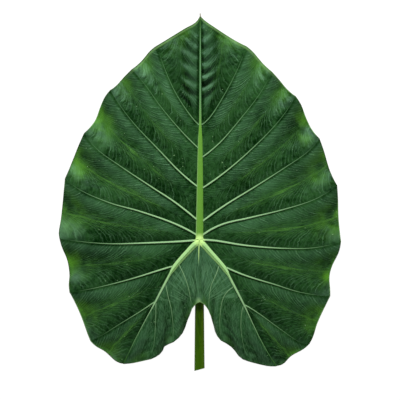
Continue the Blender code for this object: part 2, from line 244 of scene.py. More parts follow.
def dish_height(x, y):
    """How high the sheet lies over the table along its veins."""
    reach = np.hypot(x / DISH_HALF_WIDTH, (y - DISH_MIDDLE) / DISH_HALF_LENGTH)
    return EDGE_DISH_HEIGHT + (JUNCTION_DISH_HEIGHT - EDGE_DISH_HEIGHT) * (1 - reach**DISH_POWER)


def rested(height):
    """What would sink through the table lies flat on it."""
    return np.maximum(height, SHARE_BELOW * LAMINA)


print("height over the junction:", round(float(dish_height(0, 0)), 1), "mm")

# %% [markdown]
# The ripples are waves along the midrib that bend upwards as they run out from it. The two halves are out
# of step by some millimetres, and a slow change of their height and length keeps them from looking
# machined. A little noise over the whole blade does the same for the rest.

# %% Add the ripples and the unevenness
RIPPLES_BESIDE = (1, 7, 13, 30)
RIPPLES_ALONG = (165, 200, 264, 288)
RIPPLE_LENGTH = 17.0
RIPPLE_HEIGHT = 2.6
RIPPLE_SLANT = 0.5
RIPPLE_BEND = 0.016
RIGHT_OUT_OF_STEP = 6.0
SWELL_LENGTH = 38.0
SWELL_HEIGHT = 0.7
SWELL_SLICE = 3.7


def fade(low, high, x):
    """From 0 at low to 1 at high, smoothly."""
    share = np.clip((x - low) / (high - low), 0, 1)
    return share * share * (3 - 2 * share)


def within(x, starts, full, wanes, gone):
    """1 between full and wanes, and 0 outside starts and gone."""
    return fade(starts, full, x) * (1 - fade(wanes, gone, x))


def tip_ripples(x, y):
    """Small gathers beside the midrib near the tip, which run up and outwards from it."""
    bent = y - RIPPLE_SLANT * abs(x) - RIPPLE_BEND * x**2 + np.where(x > 0, RIGHT_OUT_OF_STEP, 0.0)
    uneven = 1 + 0.3 * np.sin(bent / 11 + 2 * np.sign(x)) + 0.25 * np.sin(x / 4.3)
    turn = 2 * np.pi * bent / RIPPLE_LENGTH + 0.8 * np.sin(bent / 19 + x / 9)
    beside, near_tip = within(abs(x), *RIPPLES_BESIDE), within(y, *RIPPLES_ALONG)
    return RIPPLE_HEIGHT * beside * near_tip * uneven * np.sin(turn)


def swell(x, y):
    """The slow unevenness of a grown surface."""
    places = np.stack([x, y], axis=-1).reshape(-1, 2) / SWELL_LENGTH
    heights = [noise.noise(Vector((a, b, SWELL_SLICE))) for a, b in places]
    return SWELL_HEIGHT * np.array(heights).reshape(x.shape)


print("a ripple's height 10 mm beside the midrib:", round(float(tip_ripples(10, 230)), 2), "mm")

# %% [markdown]
# ## Sectors between veins
# Between two veins the skin is a four-sided patch: a vein on each side, the stem at its root, and the
# leaf's edge. A grid primitive bent to those four sides keeps every row running from vein to vein, so
# ribs and ripples fall along the rows and columns. A triangulated outline would cut across them and shade
# badly. Columns crowd beside the veins, where a rib rises within a millimetre, and rows crowd at the
# leaf's edge.

# %% Space the columns of a sector
RIB_COLUMNS = np.array([0.0, 0.45, 0.8, 1.0, 1.3, 2.2])
WIDEST_RIB_SHARE = 0.22


def column_shares(width, rib_a, rib_b, columns):
    """Where the columns stand across a sector: close together over both ribs, and evenly between."""
    edge_a, edge_b = [
        np.minimum(RIB_COLUMNS[-1] * rib / np.maximum(width, 1e-6), WIDEST_RIB_SHARE)[:, None]
        for rib in (rib_a, rib_b)
    ]
    over_rib = RIB_COLUMNS / RIB_COLUMNS[-1]
    between = np.linspace(0, 1, columns + 1 - 2 * (len(over_rib) - 1))[None, 1:-1]
    inside = edge_a + (1 - edge_a - edge_b) * between
    return np.hstack([over_rib * edge_a, inside, 1 - over_rib[::-1] * edge_b])


example = column_shares(np.array([60.0]), np.array([1.4]), np.array([1.2]), 24)
print("columns of a sector 60 mm wide, in shares:", example[0, :7].round(3), "...")

# %% [markdown]
# The fine nerves need a number that stays the same along each one, so for every point the place on the
# vein that its nerve starts from is worked out here. The skin also rises a little over each side vein.

# %% Find where the fine nerves run
TIPWARD_SLANT = 0.15
BASEWARD_SLANT = 0.6
NERVE_SWEEP = 1.1
RIB_LIFT = 0.45


def nerve_flow(line, plan, half, slant, offset):
    """For each point, the place on a vein that its fine nerve starts from, and its distance to the vein.
    A nerve leaves the vein at a slant and sweeps outwards until it runs along the middle of the
    sector."""
    gap, reached = distance_to(line, plan)
    share = np.minimum(gap / np.maximum(half, 1), 1)
    sweep = NERVE_SWEEP * half * (share**2 + share**4) / 2
    return np.stack([reached - slant * gap - sweep + offset, gap], axis=-1)


def rib_lift(vein, gap, half_width):
    """How far a side vein lifts the skin over it."""
    if not vein.points:
        return 0 * gap
    return RIB_LIFT * half_width * np.sqrt(np.clip(1 - (gap / half_width) ** 2, 0, 1))


print("lift over a vein 2.8 mm wide:", round(float(rib_lift(LEFT_OUTER[4], 0.0, 1.4)), 2), "mm")

# %% [markdown]
# A Coons patch fills the four sides: it adds the ruled surfaces between both pairs of facing sides and
# takes away the one through the four corners. The heights are laid over it afterwards, so a point stays
# where the plan puts it. Between its veins the blade bulges over its length, and its edge dips to the
# table.

# %% Bend a grid to the four sides of a sector
ROWS = 78
COLUMNS = 24
ROW_CROWDING = 1.25
STEEPEST_DIP = 0.25
DIP_PAST_TABLE = 2.5
QUILT_PER_WIDTH = 0.04
PUCKER_LENGTH = 13.0
PUCKER_HEIGHT = 0.5
SECOND_VEIN_OFFSET = 40

Sector = namedtuple("Sector", "points flow_a flow_b half")


def sector_height(x, y, u, v, width, flow, half, lift):
    """The height of the sheet over the table at each point of a sector. lift is what its veins add."""
    middle = 4 * u * (1 - u)
    level = dish_height(x, y)
    dip = min(level[-1, level.shape[1] // 2] + DIP_PAST_TABLE, STEEPEST_DIP * width[-1])
    relief = QUILT_PER_WIDTH * width[-1] * np.sin(np.pi * v) * middle - dip * v**3 * np.sin(np.pi * u) ** 2
    beside_vein = fade(1, 6, flow[..., 1]) * (1 - fade(0.45, 0.9, flow[..., 1] / np.maximum(half, 1)))
    waves = np.sin(2 * np.pi * flow[..., 0] / PUCKER_LENGTH)
    puckers = PUCKER_HEIGHT * waves * beside_vein * fade(0.15, 0.8, v)
    swells = swell(x, y) * middle * fade(0, 0.3, v)
    return rested(level + relief + puckers + swells + lift + tip_ripples(x, y))


def make_sector(vein_a, vein_b, side, columns, offset):
    """The points between two neighbouring veins, rows from their roots to the leaf's edge, with the flow
    of the fine nerves from each vein. A point holds x, y, z, its share of the way out, and its distance
    from the leaf's edge."""
    line_a, line_b = vein_line(vein_a, side), vein_line(vein_b, side)
    start = vein_a.root if vein_a.stem is vein_b.stem else 0
    root = stem_edge(vein_b.stem, side, start, vein_b.root)
    margin = smooth_line([line_a[-1], *vein_a.edge, line_b[-1]])

    v = 1 - (1 - np.linspace(0, 1, ROWS + 1)) ** ROW_CROWDING
    width = np.linalg.norm(along(line_a, v) - along(line_b, v), axis=1)
    rib_a = vein_a.half_width + (VEIN_END_HALF_WIDTH - vein_a.half_width) * v
    rib_b = vein_b.half_width + (VEIN_END_HALF_WIDTH - vein_b.half_width) * v
    u = column_shares(width, rib_a, rib_b, columns)
    v = np.repeat(v[:, None], columns + 1, axis=1)

    u3, v3 = u[..., None], v[..., None]
    across = (1 - u3) * along(line_a, v) + u3 * along(line_b, v)
    outward = (1 - v3) * along(root, u) + v3 * along(margin, u)
    at_stem = (1 - u3) * line_a[0] + u3 * line_b[0]
    at_margin = (1 - u3) * line_a[-1] + u3 * line_b[-1]
    corners = (1 - v3) * at_stem + v3 * at_margin
    plan = across + outward - corners
    x, y = plan[..., 0], plan[..., 1]

    half = width[:, None] / 2
    flow_a = nerve_flow(line_a, plan, half, BASEWARD_SLANT, offset)
    flow_b = nerve_flow(line_b, plan, half, TIPWARD_SLANT, offset + SECOND_VEIN_OFFSET)
    flow = np.where((u < 0.5)[..., None], flow_a, flow_b)

    lift = rib_lift(vein_a, flow_a[..., 1], rib_a[:, None])
    lift = lift + rib_lift(vein_b, flow_b[..., 1], rib_b[:, None])
    lift = lift * fade(0, 0.06, v) * (1 - fade(0.45, 0.9, v))
    height = sector_height(x, y, u, v, width, flow, half, lift)

    length = (1 - u) * run_of(line_a)[-1] + u * run_of(line_b)[-1]
    points = np.dstack([plan, height, v, (1 - v) * length])
    return Sector(points, flow_a, flow_b, np.maximum(half + 0 * u, 1))


example = make_sector(LEFT_OUTER[4], LEFT_OUTER[5], 1, COLUMNS, 0)
print("a sector has", example.points[..., 0].size, "points")

# %% [markdown]
# Each stem is a narrow ruled strip between its two edges. Those edges are the roots of the sectors on
# either side, point for point, so sectors and strips meet with no gap once their doubles are merged.

# %% Make the sectors and the stem strips of both halves
STEM_COLUMNS = 8
OUTER_OFFSET = 7.3
INNER_OFFSET = 5.9


def without_repeats(stretches):
    """Joins stretches that each start where the last one ends."""
    return np.concatenate([stretches[0]] + [s[1:] for s in stretches[1:]])


def half_leaf(outer, inner, side):
    """The sectors of one half of the leaf, and the edges that they leave for the midrib and for the
    half's rib."""
    rib_sectors = sum(v.stem is not MIDRIB and bool(v.points) for v in outer)
    steps = np.diff(np.linspace(0, rib_sectors * COLUMNS, len(inner) - 1).round().astype(int))
    inner_columns = [steps[0], *steps]
    sectors = []
    for number, (a, b) in enumerate(zip(outer, outer[1:])):
        stem_side = side if b.stem is MIDRIB else -side
        sectors.append(make_sector(a, b, stem_side, COLUMNS, number * OUTER_OFFSET))
    for number, (a, b, columns) in enumerate(zip(inner, inner[1:], inner_columns)):
        sectors.append(make_sector(a, b, side, columns, number * INNER_OFFSET))

    on_midrib = sum(v.stem is MIDRIB for v in outer) - 1
    grids = [s.points for s in sectors]
    outer_grids, inner_grids = grids[: len(outer) - 1], grids[len(outer) - 1 :]
    midrib_edge = [outer_grids[0][::-1, 0]] + [g[0] for g in outer_grids[1:on_midrib]]
    outer_edge = [g[0] for g in outer_grids[on_midrib:-1]] + [outer_grids[-1][:, -1]]
    inner_edge = [g[0, ::-1] for g in inner_grids[:0:-1]] + [inner_grids[0][:, 0]]
    return sectors, [without_repeats(edge) for edge in (midrib_edge, outer_edge, inner_edge)]


def stem_strip(left, right):
    """The points between a stem's two edges."""
    share = np.linspace(0, 1, STEM_COLUMNS + 1)[None, :, None]
    points = left[:, None] * (1 - share) + right[:, None] * share
    points[..., 2] = rested(dish_height(points[..., 0], points[..., 1]))
    still = np.zeros(points.shape[:2] + (2,))
    across = np.dstack([still[..., 0], 4 * share[..., 0] - 2 + still[..., 0]])
    return Sector(points, still, across, np.ones(points.shape[:2]))


left_sectors, (left_midrib, left_outer, left_inner) = half_leaf(LEFT_OUTER, LEFT_INNER, 1)
right_sectors, (right_midrib, right_outer, right_inner) = half_leaf(RIGHT_OUTER, RIGHT_INNER, -1)
edge_pairs = [(left_midrib, right_midrib), (left_outer, left_inner), (right_outer, right_inner)]
strips = [stem_strip(left, right) for left, right in edge_pairs]
print(len(left_sectors + right_sectors), "sectors and", len(strips), "stem strips")

# %% [markdown]
# ## The blade as one sheet
# A grid primitive is added for each patch, and its points are moved to their places. What the finish has
# to read is kept with the mesh. Two maps hold the nerve's start with the distance to its vein, and the
# distance off the middle of the sector with half its width. Attributes hold whether the sector is on the
# inner side of a lobe, how far out a point is, and its distance from the leaf's edge. The two sides of a
# vein need different numbers at one point, which a map can hold for each corner of a face, and an
# attribute on points can't.

# %% Make a grid for a patch
def to_scene(points):
    """From millimetres off the junction to metres off the middle of the leaf's box."""
    points = np.array(points, float)
    points[..., :2] -= BOX_MIDDLE
    return points * MM


def add_patch(patch, inner):
    """A grid primitive bent to a patch, with its flow as a UV map and its other values as attributes."""
    rows, columns = (n - 1 for n in patch.points.shape[:2])
    bpy.ops.mesh.primitive_grid_add(x_subdivisions=columns, y_subdivisions=rows, size=1)
    grid = bpy.context.object
    mesh = grid.data
    flat = np.array([v.co for v in mesh.vertices])
    row = ((flat[:, 1] + 0.5) * rows).round().astype(int)
    column = ((flat[:, 0] + 0.5) * columns).round().astype(int)
    mesh.vertices.foreach_set("co", to_scene(patch.points[row, column, :3]).astype(np.float32).ravel())

    corner = np.array([loop.vertex_index for loop in mesh.loops])
    left_of_face = column[corner].reshape(-1, 4).min(axis=1).repeat(4)
    from_a = left_of_face < columns / 2
    place = row[corner], column[corner]
    flow = np.where(from_a[:, None], patch.flow_a[place], patch.flow_b[place])
    off_middle = (patch.flow_b[place][:, 1] - patch.flow_a[place][:, 1]) / 2
    mesh.uv_layers.active.name = "flow"
    mesh.uv_layers.new(name="middle")
    for name, pairs in {"flow": flow, "middle": np.stack([off_middle, patch.half[place]], axis=1)}.items():
        mesh.uv_layers[name].uv.foreach_set("vector", pairs.astype(np.float32).ravel())

    for name, values in {
        "inner": np.full(len(row), inner),
        "outward": patch.points[row, column, 3],
        "from_edge": patch.points[row, column, 4],
    }.items():
        mesh.attributes.new(name, "FLOAT", "POINT").data.foreach_set("value", values.astype(np.float32))
    return grid


print("the junction is at", to_scene((0, 0, 0)).round(4), "m")

# %% [markdown]
# The patches are joined into one object and their doubles merged. The sectors on the inner side of the
# lobes come last, and are marked as such.

# %% Join the patches into one sheet
MERGE_WITHIN = 0.01

bpy.ops.object.select_all(action="DESELECT")
outer_count = len(LEFT_OUTER) - 1
outer_patches = left_sectors[:outer_count] + right_sectors[:outer_count] + strips
inner_patches = left_sectors[outer_count:] + right_sectors[outer_count:]
patches = [add_patch(patch, 0.0) for patch in outer_patches]
patches += [add_patch(patch, 1.0) for patch in inner_patches]
for patch in patches:
    patch.select_set(True)
blade = patches[0]
bpy.context.view_layer.objects.active = blade
bpy.ops.object.join()
blade.name = blade.data.name = "blade"
bpy.ops.object.mode_set(mode="EDIT")
bpy.ops.mesh.select_all(action="SELECT")
bpy.ops.mesh.remove_doubles(threshold=MERGE_WITHIN * MM)
bpy.ops.mesh.dissolve_degenerate(threshold=MERGE_WITHIN * MM)
bpy.ops.mesh.normals_make_consistent(inside=False)
bpy.ops.object.mode_set(mode="OBJECT")
if sum(face.normal.z for face in blade.data.polygons) < 0:
    blade.data.flip_normals()
print("the sheet has", len(blade.data.vertices), "points")

# %% [markdown]
# ## Ribs and thickness
# The ribs are the leaf's own flesh, not rods laid on it, so they come from the sheet's thickness: thin
# skin between the veins, swelling to a half round along each one, most of it underneath. Solidify can
# read the thickness from a vertex group. Each point's distance to the nearest vein, counted in that
# vein's half widths, is kept as an attribute too, because the pale colour of the ribs follows the same
# line. So is the way that the sheet leans, less the lean of the whole dish, because the finish paints
# shade where the sheet leans from the light and a sheen where it leans to it.

# %% Thicken the sheet along its veins
RIB_DEPTH_PER_WIDTH = 0.85
DEEPEST = 10.0
FAR_FROM_RIBS = 9.0


def leaf_ribs():
    """Every stem and vein, as its line and its half width at distances along the line."""
    ribs = [(smooth_line(s.points), s.at[1:], s.half_width[1:]) for s in (MIDRIB, LEFT_RIB, RIGHT_RIB)]
    for veins, side_on_midrib, side_on_rib in SIDES:
        for vein in veins:
            if vein.points:
                line = vein_line(vein, side_on_midrib if vein.stem is MIDRIB else side_on_rib)
                ribs.append((line, [0, run_of(line)[-1]], [vein.half_width, VEIN_END_HALF_WIDTH]))
    return ribs


def rib_nearness(plan):
    """Each point's distance to the nearest rib in that rib's half widths, and the rib's half width
    there."""
    nearest, size = np.full(len(plan), FAR_FROM_RIBS), np.full(len(plan), VEIN_END_HALF_WIDTH)
    for line, at, half_widths in leaf_ribs():
        gap, reached = distance_to(line, plan)
        half_width = np.interp(reached, at, half_widths)
        nearer = gap / half_width < nearest
        nearest = np.where(nearer, gap / half_width, nearest)
        size = np.where(nearer, half_width, size)
    return nearest, size


plan = np.array([v.co for v in blade.data.vertices])[:, :2] / MM + BOX_MIDDLE
rib_gap, rib_size = rib_nearness(plan)
east, north = plan.T
dish_lean = dish_height(east, north - 1) - dish_height(east, north + 1)
lean = np.array([v.normal.y for v in blade.data.vertices]) - np.sin(np.arctan(dish_lean / 2))
for name, values in {"rib_gap": rib_gap, "rib_size": rib_size, "lean": lean}.items():
    blade.data.attributes.new(name, "FLOAT", "POINT").data.foreach_set("value", values.astype(np.float32))
thickness = LAMINA + 2 * RIB_DEPTH_PER_WIDTH * rib_size * np.sqrt(np.clip(1 - rib_gap**2, 0, 1))
group = blade.vertex_groups.new(name="thickness")
for index, value in enumerate(thickness):
    group.add([index], value / DEEPEST, "REPLACE")
print("thickness from", round(float(thickness.min()), 2), "to", round(float(thickness.max()), 2), "mm")

# %% [markdown]
# Solidify puts a fifth of the thickness above the sheet and the rest below it. It gives the faces
# underneath their own material. What comes out nearly at the table's height is then laid flat on it.

# %% Solidify the sheet and rest it on the table
UNDERSIDE_SLOT = 1
LIES_FLAT_BELOW = 0.2

for slot in ("upper side", "underside"):
    blade.data.materials.append(bpy.data.materials.new(slot))
thicken = blade.modifiers.new("thickness", "SOLIDIFY")
thicken.thickness = DEEPEST * MM
thicken.offset = 1 - 2 * SHARE_BELOW
thicken.vertex_group = group.name
thicken.material_offset = UNDERSIDE_SLOT
bpy.ops.object.modifier_apply(modifier=thicken.name)
for vert in blade.data.vertices:
    if vert.co.z < LIES_FLAT_BELOW * MM:
        vert.co.z = 0
bpy.ops.object.shade_smooth()
blade.vertex_groups.clear()
print("the blade has", len(blade.data.polygons), "faces")

# %% [markdown]
# A leaf of this kind ends in a thread that soon dries to a pale bristle. A thin cone joined to the
# blade's point is enough for it.

# %% Set the dried thread into the point
BRISTLE_SIDES = 8
BRISTLE_LENGTH = 5.0
BRISTLE_FOOT_RADIUS = 0.9
BRISTLE_END_RADIUS = 0.75
BRISTLE_TURN = 0.12
BRISTLE_MIDDLE = Vector((-0.5, 1.1, 0.2))

point = max((v.co for v in blade.data.vertices), key=lambda place: place.y).copy()
bpy.ops.object.select_all(action="DESELECT")
bpy.ops.mesh.primitive_cone_add(
    vertices=BRISTLE_SIDES,
    radius1=BRISTLE_FOOT_RADIUS * MM,
    radius2=BRISTLE_END_RADIUS * MM,
    depth=BRISTLE_LENGTH * MM,
    calc_uvs=False,
    location=point + BRISTLE_MIDDLE * MM,
    rotation=(-np.pi / 2, 0, BRISTLE_TURN),
)
bpy.ops.object.transform_apply(location=True, rotation=True, scale=True)
bpy.context.object.data.materials.append(blade.data.materials[0])
blade.select_set(True)
bpy.context.view_layer.objects.active = blade
bpy.ops.object.join()
print("the bristle ends at", round(max(v.co.y for v in blade.data.vertices) / MM, 1), "mm")

# %% [markdown]
# Game engines can't run shader nodes, so the finish may later be baked to a picture. The map for that
# lies flat, with no cuts: the upper side fills most of the picture, the underside is drawn at half that
# scale beside it, and the narrow rim is spread out around the upper side.

# %% Lay out both sides for baking
PICTURE = 1024
UPPER_SCALE = 1.8
UNDER_SCALE = 0.9
UPPER_CORNER = np.array([186.5, 234.0])
UNDER_START = 683
RIM_SPREAD = 1.6

corner = np.array([loop.vertex_index for loop in blade.data.loops])
face = np.repeat(np.arange(len(blade.data.polygons)), [p.loop_total for p in blade.data.polygons])
on_underside = np.array([p.material_index == UNDERSIDE_SLOT for p in blade.data.polygons])[face]
low_point = np.zeros(len(blade.data.vertices), bool)
low_point[corner[on_underside]] = True
low_rim = low_point[corner] & ~on_underside
outwards = np.array([p.normal for p in blade.data.polygons])[face, :2]
flat = np.array([v.co for v in blade.data.vertices])[corner, :2] / MM
flat = flat + RIM_SPREAD * low_rim[:, None] * outwards
upper_map = (flat + UPPER_CORNER) * UPPER_SCALE
under_map = (flat * [-1, 1] + UPPER_CORNER) * UNDER_SCALE + [UNDER_START, 0]
bake_map = np.where(on_underside[:, None], under_map, upper_map) / PICTURE
blade.data.uv_layers.new(name="OFBake").uv.foreach_set("vector", bake_map.astype(np.float32).ravel())
print("the map spans", bake_map.min(axis=0).round(3), "to", bake_map.max(axis=0).round(3))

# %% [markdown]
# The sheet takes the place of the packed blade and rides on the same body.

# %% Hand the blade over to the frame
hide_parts("leaf_blade")
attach(blade, "root")
blade.data.calc_loop_triangles()
print("the blade has", len(blade.data.loop_triangles), "triangles")

# %% [markdown]
# ## The stalk
# The stalk is a firm round rod, cut across at a slant. It lies with its cut end on the table and rises
# under the blade to the junction. A cylinder primitive cut into rings by bisecting gives the rod, and
# moving each ring gives the taper and the rise. Its head comes up close under the ribs, which hide it
# from above.

# %% Model the stalk
STALK_END = -168.5
STALK_END_RADIUS = 6.7
STALK_SINUS = -81.0
STALK_SINUS_RADIUS = 5.8
STALK_HEAD_RADIUS = 5.2
STALK_HEAD_HEIGHT = 18.4
STALK_NOSE = 16.0
STALK_NOSE_RADIUS = 1.8
STALK_CUT_SLANT = 0.27
STALK_SIDES = 40
STALK_RINGS = 60
AT_CUT = 0.01
SHARPEST_SMOOTHED = 0.7

bpy.ops.object.select_all(action="DESELECT")
length = (STALK_NOSE - STALK_END) * MM
lying = (-np.pi / 2, 0, 0)
bpy.ops.mesh.primitive_cylinder_add(vertices=STALK_SIDES, radius=MM, depth=length, rotation=lying)
stalk = bpy.context.object
stalk.name = stalk.data.name = "stalk"
bpy.ops.object.transform_apply(location=True, rotation=True, scale=True)
bpy.ops.object.mode_set(mode="EDIT")
for y in np.linspace(-length / 2, length / 2, STALK_RINGS)[1:-1]:
    bpy.ops.mesh.select_all(action="SELECT")
    bpy.ops.mesh.bisect(plane_co=(0, y, 0), plane_no=(0, 1, 0))
bpy.ops.object.mode_set(mode="OBJECT")

for vert in stalk.data.vertices:
    y = vert.co.y / MM + (STALK_END + STALK_NOSE) / 2
    radius = np.interp(
        y,
        [STALK_END, STALK_SINUS, 0, STALK_NOSE],
        [STALK_END_RADIUS, STALK_SINUS_RADIUS, STALK_HEAD_RADIUS, STALK_NOSE_RADIUS],
    )
    heights = [STALK_END_RADIUS, STALK_HEAD_HEIGHT, STALK_HEAD_HEIGHT]
    height = np.interp(y, [STALK_END, 0, STALK_NOSE], heights)
    x = vert.co.x / MM * radius
    if y < STALK_END + AT_CUT:
        y += STALK_CUT_SLANT * x
    vert.co = Vector(to_scene((x, y, height + vert.co.z / MM * radius)))
bpy.ops.object.shade_smooth_by_angle(angle=SHARPEST_SMOOTHED)
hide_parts("leaf_stalk")
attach(stalk, "root")
print("the stalk has", len(stalk.data.vertices), "points")

# %% [markdown]
# ## Shader maths in plain Python
# The greens of a leaf change with the distance to a rib, with the run of the fine nerves and with
# nearness to the edge, so its finish is mostly sums. A long chain of Math nodes is hard to read. A small
# class that wraps a socket lets a sum be written as in Python, and adds the nodes by itself.

# %% Wrap sockets so that they can be added and multiplied
class Value:
    """A number or a colour that changes over a surface."""

    def __init__(self, finish, socket):
        self.finish, self.socket = finish, socket

    def maths(self, operation, *terms):
        return self.finish.node("ShaderNodeMath", {"operation": operation}, *terms)

    def __add__(self, other):
        return self.maths("ADD", self, other)

    def __sub__(self, other):
        return self.maths("SUBTRACT", self, other)

    def __rsub__(self, other):
        return self.maths("SUBTRACT", other, self)

    def __mul__(self, other):
        return self.maths("MULTIPLY", self, other)

    def __truediv__(self, other):
        return self.maths("DIVIDE", self, other)

    def __abs__(self):
        return self.maths("ABSOLUTE", self)

    def __pow__(self, other):
        return self.maths("POWER", self, other)

    __radd__, __rmul__ = __add__, __mul__


print("a value knows", sum(name.startswith("__") for name in vars(Value)), "special methods")

# %% [markdown]
# A second class holds a material. One of its methods adds any node. The others are the few nodes that
# this leaf uses again and again: a soft step up or down, a mix of two colours, and a number kept with the
# mesh. Painting is done in coats, as on paper: each coat lays one colour over what is there, as thickly
# as a mask says.

# %% Wrap a material so that a node is one call
class Finish:
    """A material whose nodes are added one call at a time."""

    def __init__(self, material):
        self.material = material
        material.use_nodes = True
        self.tree = material.node_tree
        self.shader = self.tree.nodes["Principled BSDF"]
        self.colour = None

    def node(self, kind, settings, *values, output=0):
        """Adds a node, makes its settings, and then fills its inputs in order. None leaves an input as it
        is."""
        node = self.tree.nodes.new(kind)
        for name, setting in settings.items():
            setattr(node, name, setting)
        inputs = [i for i in node.inputs if i.enabled]
        for socket, value in zip(inputs, values):
            if isinstance(value, Value):
                self.tree.links.new(value.socket, socket)
            elif value is not None:
                socket.default_value = value
        return Value(self, node.outputs[output])

    def step(self, value, low, high):
        """From 0 at low to 1 at high, smoothly."""
        smooth = {"interpolation_type": "SMOOTHSTEP"}
        return self.node("ShaderNodeMapRange", smooth, value, low, high, 0.0, 1.0)

    def fall(self, value, low, high):
        """From 1 at low to 0 at high, smoothly."""
        return 1 - self.step(value, low, high)

    def blend(self, share, a, b):
        """Colour a where share is 0, and b where it is 1."""
        mix = self.node("ShaderNodeMix", {"data_type": "RGBA"}, share, a, b)
        mix.socket = mix.socket.node.outputs[2]
        return mix

    def coat(self, share, colour):
        """Lays a colour over the colour so far, as thickly as share says."""
        self.colour = self.blend(share, self.colour, colour)

    def parts(self, vector):
        """The x and the y of a vector."""
        x = self.node("ShaderNodeSeparateXYZ", {}, vector)
        return x, Value(self, x.socket.node.outputs[1])

    def attribute(self, name):
        value = self.node("ShaderNodeAttribute", {"attribute_name": name})
        value.socket = value.socket.node.outputs["Fac"]
        return value

    def set(self, **sockets):
        """Sets or links the shader's own sockets. An underscore in a name stands for a space."""
        for name, value in sockets.items():
            socket = self.shader.inputs[name.replace("_", " ")]
            if isinstance(value, Value):
                self.tree.links.new(value.socket, socket)
            else:
                socket.default_value = value


def tint(red, green, blue):
    """A colour as seen on a screen, from 0 to 255, as the shader's linear light."""
    screen = np.array([red, green, blue]) / 255
    light = np.where(screen < 0.04045, screen / 12.92, ((screen + 0.055) / 1.055) ** 2.4)
    return (*light.tolist(), 1.0)


print("mid green in linear light:", [round(c, 3) for c in tint(46, 92, 46)])

# %% [markdown]
# Three patterns come back on every side of the leaf. Plain noise has no direction. Strands are noise
# drawn out one way, which needs two numbers that run across and along them. Ridges repeat at each whole
# number of a count.

# %% Define the three patterns
OBJECT_PLACE = 3


def soft_noise(finish, vector, scale, detail=2.0, roughness=0.5):
    """Noise with no direction."""
    return finish.node("ShaderNodeTexNoise", {}, vector, scale, detail, roughness)


def strands_of(finish, across, along, detail):
    """Noise drawn out into strands, whose numbers are already scaled."""
    place = finish.node("ShaderNodeCombineXYZ", {}, across, along)
    return finish.node("ShaderNodeTexNoise", {"noise_dimensions": "2D"}, place, 1.0, detail)


def ridges_of(finish, count):
    """A ridge from 0 to 1 and back for each whole number of a count."""
    return 1 - abs(finish.node("ShaderNodeMath", {"operation": "FRACT"}, count) - 0.5) * 2


print("three patterns are ready")

# %% [markdown]
# ## The upper side
# Seen close, the upper side is a waxy deep green with pale ribs. Fine nerves leave each vein at a slant
# and sweep outwards until they run side by side along the middle of the sector, where they show as a
# yellow-green streak. The flow map kept with the sheet gives the vein place that each nerve starts from,
# so a repeat along that one number draws every nerve. Photographs of leaves could be used as textures,
# but the nerves would not then follow the veins.

# %% Read what is kept with the sheet
upper = Finish(blade.data.materials[0])
here = upper.node("ShaderNodeTexCoord", {}, output=OBJECT_PLACE)
east_metres, north_metres = upper.parts(here)
east = east_metres / MM + BOX_MIDDLE[0]
north = north_metres / MM + BOX_MIDDLE[1]

start, away = upper.parts(upper.node("ShaderNodeUVMap", {"uv_map": "flow"}))
off_middle, half_width = upper.parts(upper.node("ShaderNodeUVMap", {"uv_map": "middle"}))
side = off_middle / half_width
baseward = upper.step(off_middle, -0.3, 0.3)

rib_gap = upper.attribute("rib_gap")
rib_size = upper.attribute("rib_size")
inner = upper.attribute("inner")
outer = 1 - inner
outward = upper.attribute("outward")
from_edge = upper.attribute("from_edge")
lean = upper.attribute("lean")


def grain(scale, detail=2.0, roughness=0.5):
    """Noise on the upper side."""
    return soft_noise(upper, here, scale, detail, roughness)


print("the upper side has", len(upper.tree.nodes), "nodes so far")

# %% [markdown]
# A nerve is never quite straight, nor as strong as the next one, so the count that draws them wanders a
# little and each whole number draws its own strength. Between two nerves the skin bulges, and painted
# shade fills the gap on one side of each nerve. A finer set in between stands for the net.

# %% Draw the nerves and the net between them
NERVE_PITCH = 4.6
WIDER_PITCH_TIPWARD = 1.0
WANDER = 1.9
SHIVER = 0.8
GAP_SHIFT = 0.23
FINE_PER_NERVE = 2.4

wander = grain(60.0, 4.0, 0.65)
pitch = NERVE_PITCH + WIDER_PITCH_TIPWARD * (1 - baseward)
turn = start / pitch + wander * WANDER + grain(210.0) * SHIVER
ridge = ridges_of(upper, turn)
which = upper.node("ShaderNodeMath", {"operation": "FLOOR"}, turn)
strength = upper.node("ShaderNodeTexWhiteNoise", {"noise_dimensions": "1D"}, which)
blotches = upper.step(grain(90.0), 0.35, 0.65)
strength = (strength**1.5 * 0.85 + 0.15) * (blotches * 0.6 + 0.4)
nerves = upper.step(ridge, 0.55, 1.0) * strength * (0.65 + 0.35 * baseward)
bulges = 1 - ridge**2
# The gap on one side of each nerve, which gets painted shade.
painted_gap_shade = upper.step(ridges_of(upper, turn + GAP_SHIFT * (2 * baseward - 1)), 0.4, 0.95) * strength
fine_nerves = upper.step(ridges_of(upper, turn * FINE_PER_NERVE + wander * 5), 0.5, 1.0)
fine_nerves = fine_nerves * upper.step(grain(120.0), 0.4, 0.7)
print("the upper side has", len(upper.tree.nodes), "nodes so far")

# %% [markdown]
# The first coats are the leaf's own greens: a deep one and a lighter one in cloudy patches, and a milder
# green on the inner side of the lobes.

# %% Lay down the deep greens
DEEP = tint(2, 30, 2)
LEAF = tint(34, 70, 32)
LOBE = tint(38, 78, 42)

patchy = grain(22.0, 3.0)
mottled = grain(170.0, 3.0, 0.65)
upper.colour = upper.blend(upper.step(0.5 * patchy + 0.5 * mottled, 0.36, 0.64), DEEP, LEAF)
upper.coat(inner * (0.1 + 0.5 * upper.step(grain(45.0, 4.0), 0.35, 0.65)), LOBE)
print("the upper side has", len(upper.tree.nodes), "nodes so far")

# %% [markdown]
# Painted shade darkens the sheet where it leans from the light, and a painted grey sheen lightens it
# where it leans to the light. The lean kept with the sheet, less that of the whole dish, gives both
# coats. They are strongest on the ripples near the tip, where painted shade also darkens the whole
# patch.

# %% Paint shade in the hollows and a sheen on the crests
PAINTED_SHADE = tint(0, 16, 0)
PAINTED_SHEEN = tint(96, 134, 106)

